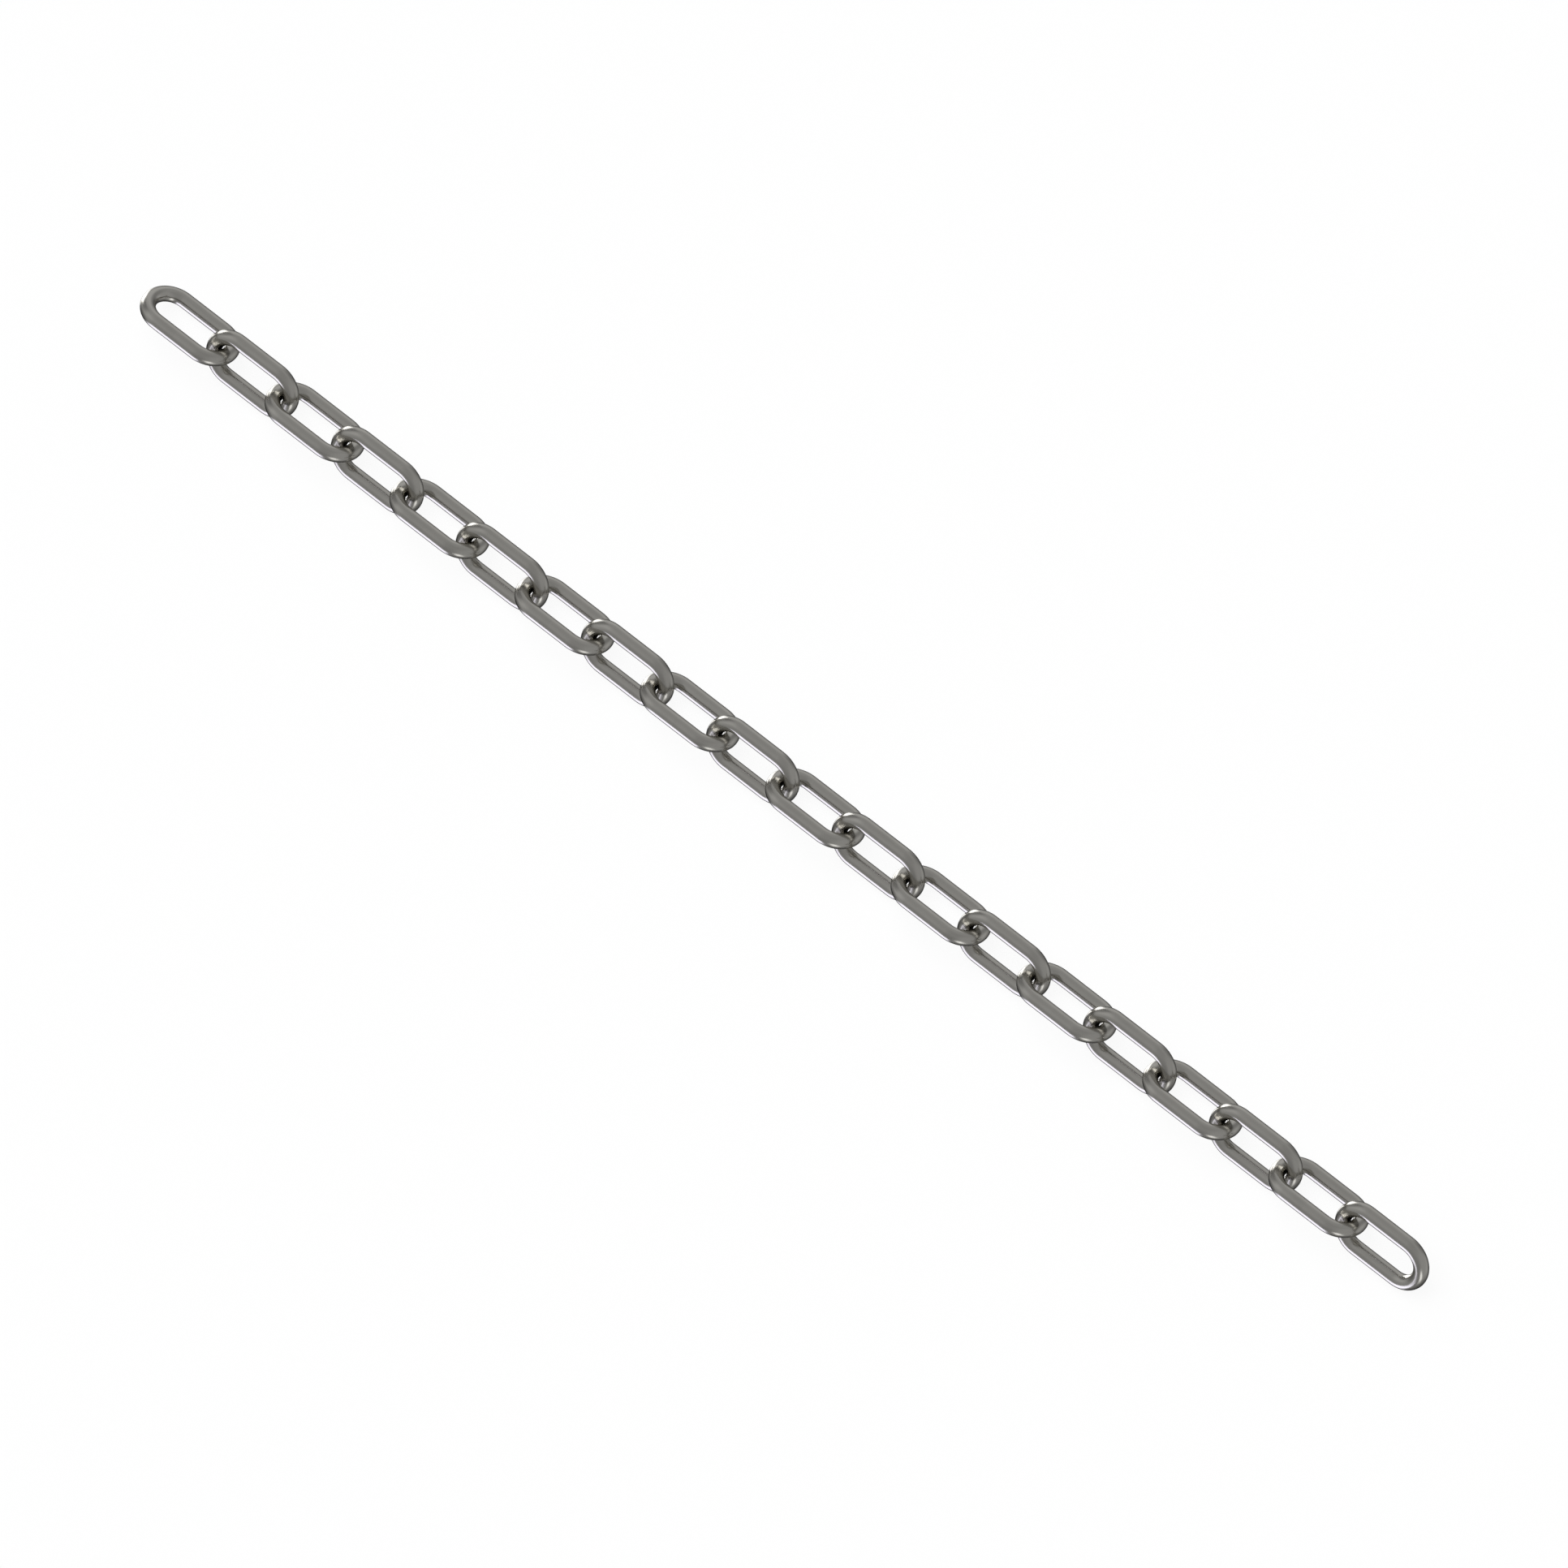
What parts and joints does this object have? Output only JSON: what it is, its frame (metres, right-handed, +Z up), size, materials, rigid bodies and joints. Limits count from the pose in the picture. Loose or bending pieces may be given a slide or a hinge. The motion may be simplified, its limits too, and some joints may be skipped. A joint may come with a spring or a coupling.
{
  "type": "safety chain",
  "caption": "Straight length of welded long-link steel chain: round-wire rings threaded through each other a quarter turn apart, with an open link at each end for a hook or lock.",
  "frame": {"origin": "on the surface the chain lies on, under the middle of its length", "axes": "+X along the chain from link_01 to link_20, +Y across it, +Z up from the surface"},
  "size_m": [0.3642, 0.011, 0.0109],
  "materials": {
    "link_steel": "bare drawn wire, smooth satin"
  },
  "bodies": {
    "link_01": {"link_01": "link_steel"},
    "link_02": {"link_02": "link_steel"},
    "link_03": {"link_03": "link_steel"},
    "link_04": {"link_04": "link_steel"},
    "link_05": {"link_05": "link_steel"},
    "link_06": {"link_06": "link_steel"},
    "link_07": {"link_07": "link_steel"},
    "link_08": {"link_08": "link_steel"},
    "link_09": {"link_09": "link_steel"},
    "link_10": {"link_10": "link_steel"},
    "link_11": {"link_11": "link_steel"},
    "link_12": {"link_12": "link_steel"},
    "link_13": {"link_13": "link_steel"},
    "link_14": {"link_14": "link_steel"},
    "link_15": {"link_15": "link_steel"},
    "link_16": {"link_16": "link_steel"},
    "link_17": {"link_17": "link_steel"},
    "link_18": {"link_18": "link_steel"},
    "link_19": {"link_19": "link_steel"},
    "link_20": {"link_20": "link_steel"}
  },
  "joints": [
    {"name": "swing_01_02", "type": "hinge", "parent": "link_01", "child": "link_02", "pos_m": [-0.15882, 0, 0.00546], "axis": [0, 0.7071, -0.7071], "range_deg": [-130, 130]},
    {"name": "swing_02_03", "type": "hinge", "parent": "link_02", "child": "link_03", "pos_m": [-0.14097, 0, 0.00546], "axis": [0, 0.7071, 0.7071], "range_deg": [-130, 130]},
    {"name": "swing_03_04", "type": "hinge", "parent": "link_03", "child": "link_04", "pos_m": [-0.12312, 0, 0.00546], "axis": [0, -0.7071, 0.7071], "range_deg": [-130, 130]},
    {"name": "swing_04_05", "type": "hinge", "parent": "link_04", "child": "link_05", "pos_m": [-0.10527, 0, 0.00546], "axis": [0, -0.7071, -0.7071], "range_deg": [-130, 130]},
    {"name": "swing_05_06", "type": "hinge", "parent": "link_05", "child": "link_06", "pos_m": [-0.08743, 0, 0.00546], "axis": [0, 0.7071, -0.7071], "range_deg": [-130, 130]},
    {"name": "swing_06_07", "type": "hinge", "parent": "link_06", "child": "link_07", "pos_m": [-0.06957, 0, 0.00546], "axis": [0, 0.7071, 0.7071], "range_deg": [-130, 130]},
    {"name": "swing_07_08", "type": "hinge", "parent": "link_07", "child": "link_08", "pos_m": [-0.05173, 0, 0.00546], "axis": [0, -0.7071, 0.7071], "range_deg": [-130, 130]},
    {"name": "swing_08_09", "type": "hinge", "parent": "link_08", "child": "link_09", "pos_m": [-0.03388, 0, 0.00546], "axis": [0, -0.7071, -0.7071], "range_deg": [-130, 130]},
    {"name": "swing_09_10", "type": "hinge", "parent": "link_09", "child": "link_10", "pos_m": [-0.01603, 0, 0.00546], "axis": [0, 0.7071, -0.7071], "range_deg": [-130, 130]},
    {"name": "swing_10_11", "type": "hinge", "parent": "link_10", "child": "link_11", "pos_m": [0.00183, 0, 0.00546], "axis": [0, 0.7071, 0.7071], "range_deg": [-130, 130]},
    {"name": "swing_11_12", "type": "hinge", "parent": "link_11", "child": "link_12", "pos_m": [0.01968, 0, 0.00546], "axis": [0, -0.7071, 0.7071], "range_deg": [-130, 130]},
    {"name": "swing_12_13", "type": "hinge", "parent": "link_12", "child": "link_13", "pos_m": [0.03753, 0, 0.00546], "axis": [0, -0.7071, -0.7071], "range_deg": [-130, 130]},
    {"name": "swing_13_14", "type": "hinge", "parent": "link_13", "child": "link_14", "pos_m": [0.05538, 0, 0.00546], "axis": [0, 0.7071, -0.7071], "range_deg": [-130, 130]},
    {"name": "swing_14_15", "type": "hinge", "parent": "link_14", "child": "link_15", "pos_m": [0.07322, 0, 0.00546], "axis": [0, 0.7071, 0.7071], "range_deg": [-130, 130]},
    {"name": "swing_15_16", "type": "hinge", "parent": "link_15", "child": "link_16", "pos_m": [0.09108, 0, 0.00546], "axis": [0, -0.7071, 0.7071], "range_deg": [-130, 130]},
    {"name": "swing_16_17", "type": "hinge", "parent": "link_16", "child": "link_17", "pos_m": [0.10892, 0, 0.00546], "axis": [0, -0.7071, -0.7071], "range_deg": [-130, 130]},
    {"name": "swing_17_18", "type": "hinge", "parent": "link_17", "child": "link_18", "pos_m": [0.12677, 0, 0.00546], "axis": [0, 0.7071, -0.7071], "range_deg": [-130, 130]},
    {"name": "swing_18_19", "type": "hinge", "parent": "link_18", "child": "link_19", "pos_m": [0.14463, 0, 0.00546], "axis": [0, 0.7071, 0.7071], "range_deg": [-130, 130]},
    {"name": "swing_19_20", "type": "hinge", "parent": "link_19", "child": "link_20", "pos_m": [0.16248, 0, 0.00546], "axis": [0, -0.7071, 0.7071], "range_deg": [-130, 130]}
  ]
}
